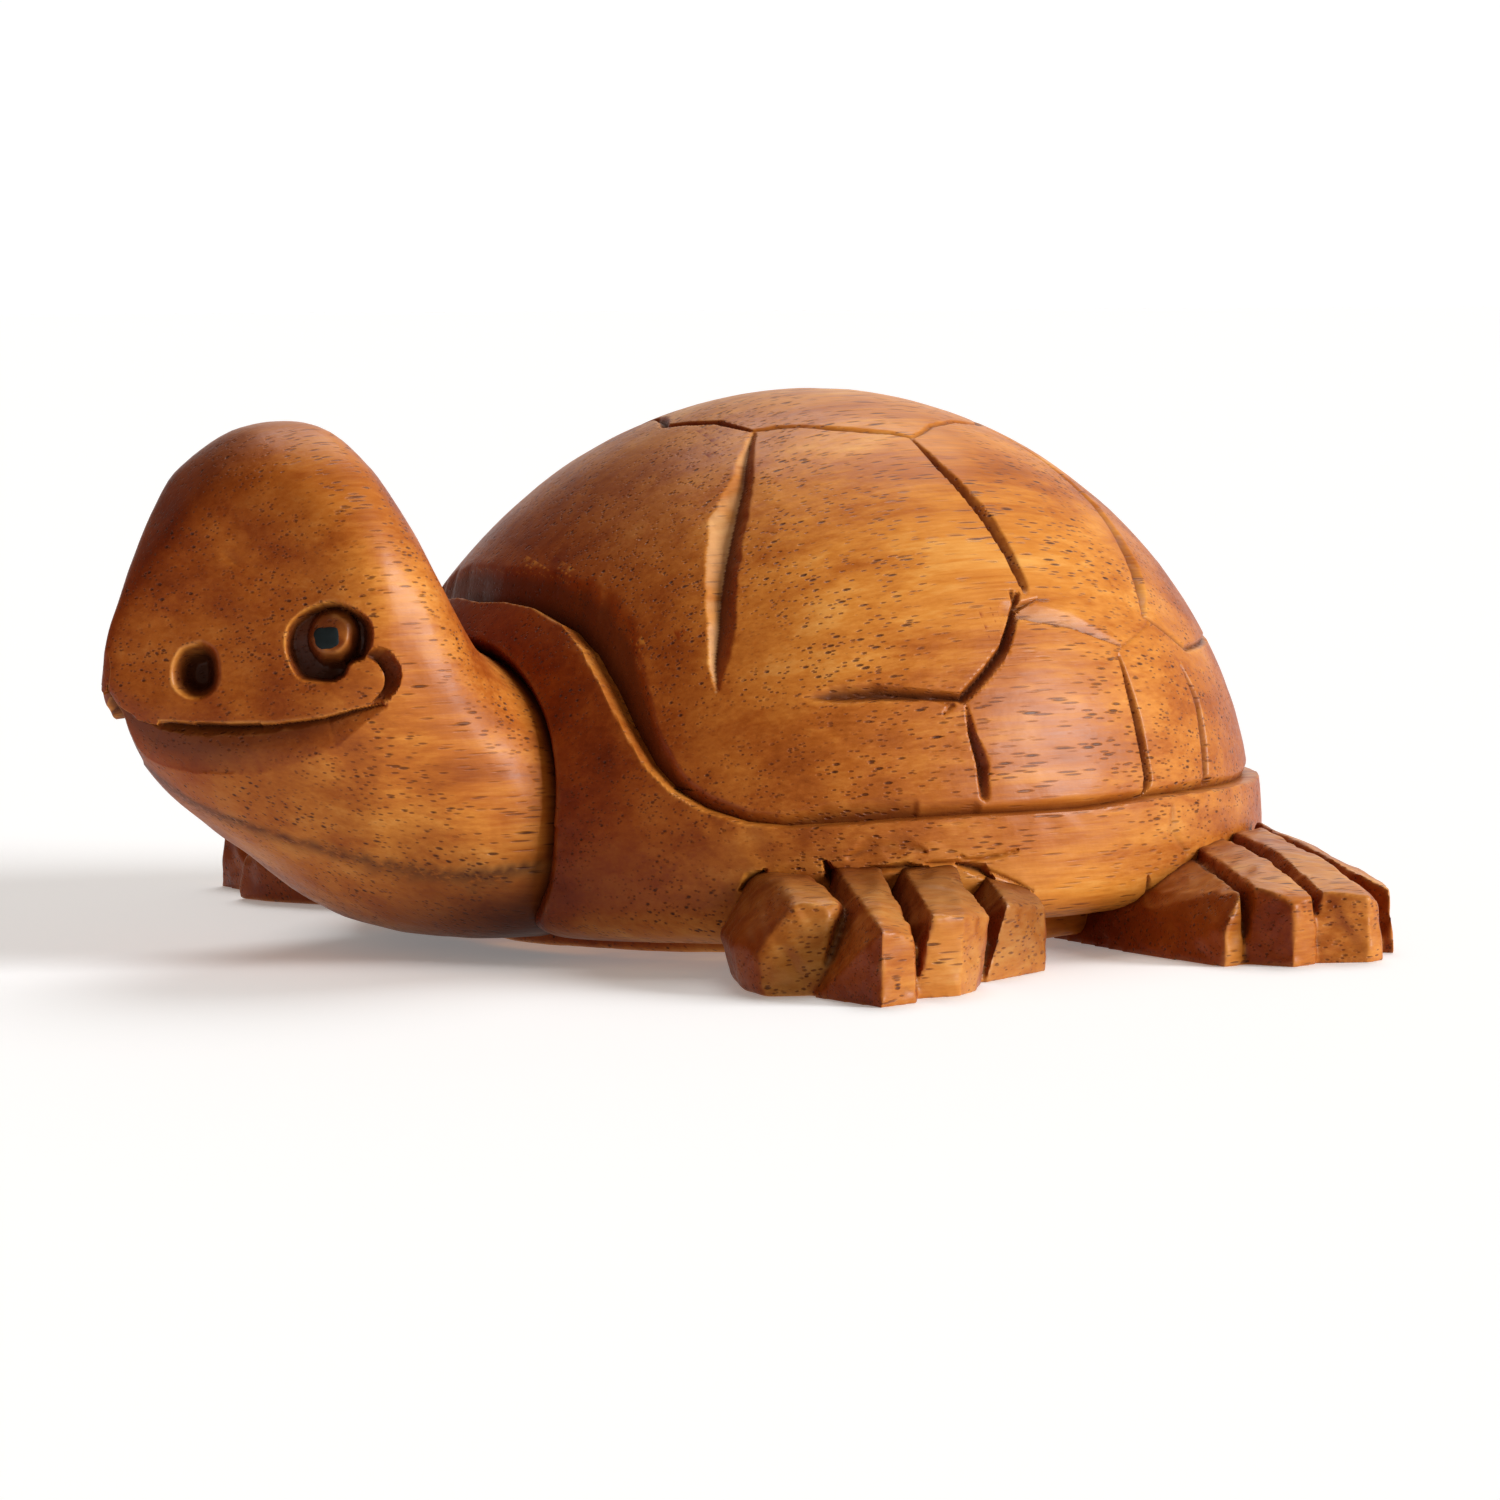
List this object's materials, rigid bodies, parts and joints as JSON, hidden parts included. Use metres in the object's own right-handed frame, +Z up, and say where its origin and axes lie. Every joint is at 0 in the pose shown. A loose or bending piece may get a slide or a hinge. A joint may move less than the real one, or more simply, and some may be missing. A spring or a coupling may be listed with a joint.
{
  "type": "carved wooden turtle figurine",
  "caption": "Hand-carved wooden turtle figurine: domed shell with scute grooves, raised head on a thick neck, splayed feet with notched toes, short tail; rests on its soles.",
  "frame": {"origin": "middle of the figurine's footprint box, on the ground plane under the soles", "axes": "+Z up, -Y the way the turtle faces, +X to the turtle's left"},
  "size_m": [0.1086, 0.1244, 0.0482],
  "materials": {
    "wood": "satin varnish over carved hardwood, grain along the turtle's length",
    "dark_pupil": "dull dark slate"
  },
  "bodies": {
    "root": {"shell": "wood", "body": "wood", "plastron": "wood", "neck": "wood", "head": "wood", "left_pupil": "dark_pupil", "right_pupil": "dark_pupil", "front_left_foot": "wood", "front_right_foot": "wood", "rear_left_foot": "wood", "rear_right_foot": "wood", "tail": "wood"}
  },
  "joints": []
}
